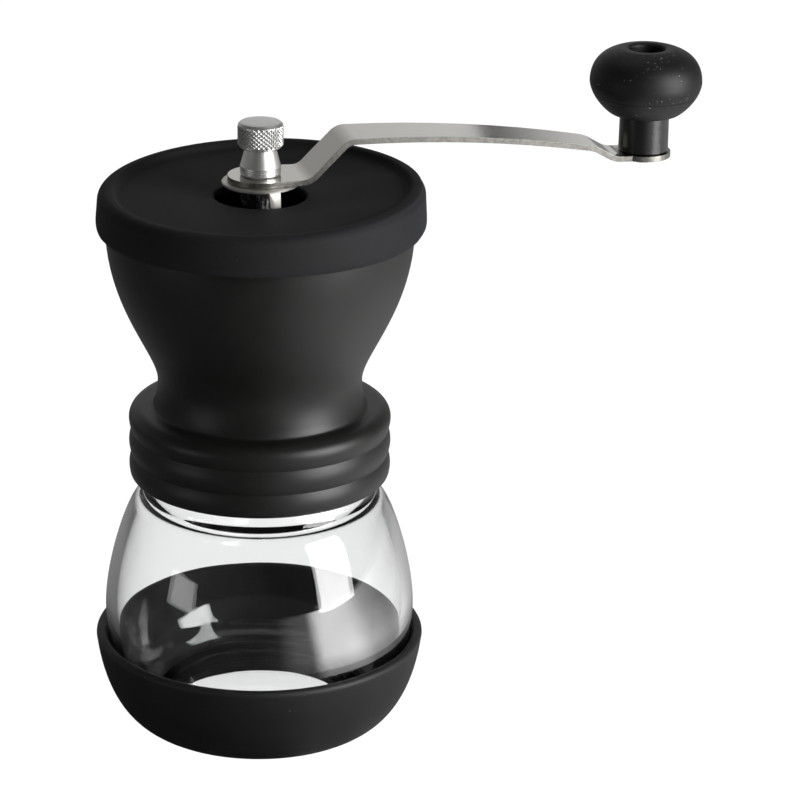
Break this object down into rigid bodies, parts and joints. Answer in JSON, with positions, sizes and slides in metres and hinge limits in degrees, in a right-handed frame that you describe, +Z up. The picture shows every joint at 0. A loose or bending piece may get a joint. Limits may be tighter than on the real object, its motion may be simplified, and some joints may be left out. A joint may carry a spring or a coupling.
{
  "type": "hand crank coffee grinder",
  "caption": "Hand crank coffee grinder: black hopper with a conical burr mill on a glass jar, rubber lid and base cover, bent steel crank with a mushroom knob.",
  "frame": {"origin": "centre of the base cover's foot, on the mill's axis", "axes": "+Z up along the mill's axis, +X along the crank towards the knob at rest"},
  "size_m": [0.1754, 0.0952, 0.195],
  "materials": {
    "cover_rubber": "matte moulded rubber",
    "clear_glass": "clear polished glass",
    "hopper_plastic": "fine satin moulded polypropylene",
    "lid_rubber": "matte silicone",
    "knob_rubber": "matte, lightly scuffed",
    "gloss_black": "glossy moulded plastic",
    "brushed_steel": "satin stainless strip",
    "steel": "turned stainless steel",
    "spring_steel": "drawn wire",
    "turned_aluminium": "turned and diamond knurled",
    "ceramic": "sintered alumina, satin",
    "bush_plastic": "acetal"
  },
  "bodies": {
    "hopper_body": {"hopper": "hopper_plastic", "bearing_column": "hopper_plastic", "upper_bush": "bush_plastic", "lower_bush": "bush_plastic", "outer_burr": "ceramic", "burr_carrier": "hopper_plastic", "carrier_screws": "steel", "spring_washer_upper": "steel"},
    "cover": {"base_cover": "cover_rubber"},
    "jar": {"glass_jar": "clear_glass"},
    "lid": {"lid": "lid_rubber"},
    "mill": {"thrust_washer": "steel"},
    "adjuster": {"adjuster_nut": "gloss_black"},
    "shaft": {"drive_shaft": "steel", "inner_burr": "ceramic", "drive_plate": "steel", "burr_nut": "steel", "spring_washer_lower": "steel", "spring": "spring_steel"},
    "lock": {"lock_ring": "brushed_steel"},
    "crank": {"crank_arm": "brushed_steel", "knob_post": "steel", "knob_washer": "steel"},
    "knob": {"knob_stem": "gloss_black", "knob_head": "knob_rubber"},
    "top_nut": {"knurled_nut": "turned_aluminium"}
  },
  "joints": [
    {"name": "crank_spin", "type": "hinge", "parent": "hopper_body", "child": "mill", "pos_m": [0, 0, 0.15], "axis": [0, 0, 1], "continuous": true},
    {"name": "adjuster_turn", "type": "hinge", "parent": "mill", "child": "adjuster", "pos_m": [0, 0, 0.157], "axis": [0, 0, 1], "range_deg": [0, 433]},
    {"name": "grind_adjust", "type": "slide", "parent": "mill", "child": "shaft", "axis": [0, 0, 1], "range_m": [0, 0.0012], "deforming": ["spring"]},
    {"name": "lock_ring_lift", "type": "slide", "parent": "shaft", "child": "lock", "axis": [0, 0, 1], "range_m": [0, 0.039]},
    {"name": "crank_lift", "type": "slide", "parent": "shaft", "child": "crank", "axis": [0, 0, 1], "range_m": [0, 0.048]},
    {"name": "nut_lift", "type": "slide", "parent": "shaft", "child": "top_nut", "axis": [0, 0, 1], "range_m": [0, 0.06]},
    {"name": "lid_lift", "type": "slide", "parent": "hopper_body", "child": "lid", "axis": [0, 0, 1], "range_m": [0, 0.03]},
    {"name": "knob_spin", "type": "hinge", "parent": "crank", "child": "knob", "pos_m": [0.1118, 0, 0.18], "axis": [0, 0, 1], "continuous": true},
    {"name": "jar_drop", "type": "slide", "parent": "hopper_body", "child": "cover", "axis": [0, 0, -1], "range_m": [0, 0.01]},
    {"name": "jar_turn", "type": "hinge", "parent": "cover", "child": "jar", "pos_m": [0, 0, 0.05], "axis": [0, 0, -1], "range_deg": [0, 710]}
  ],
  "couplings": [
    {"joint": "adjuster_turn", "follows": "grind_adjust", "rad_per_m": 6283.2},
    {"joint": "crank_lift", "follows": "nut_lift", "ratio": 0.8},
    {"joint": "lock_ring_lift", "follows": "nut_lift", "ratio": 0.65},
    {"joint": "lid_lift", "follows": "nut_lift", "ratio": 0.5},
    {"joint": "jar_drop", "follows": "jar_turn", "m_per_rad": 0.00079577}
  ]
}
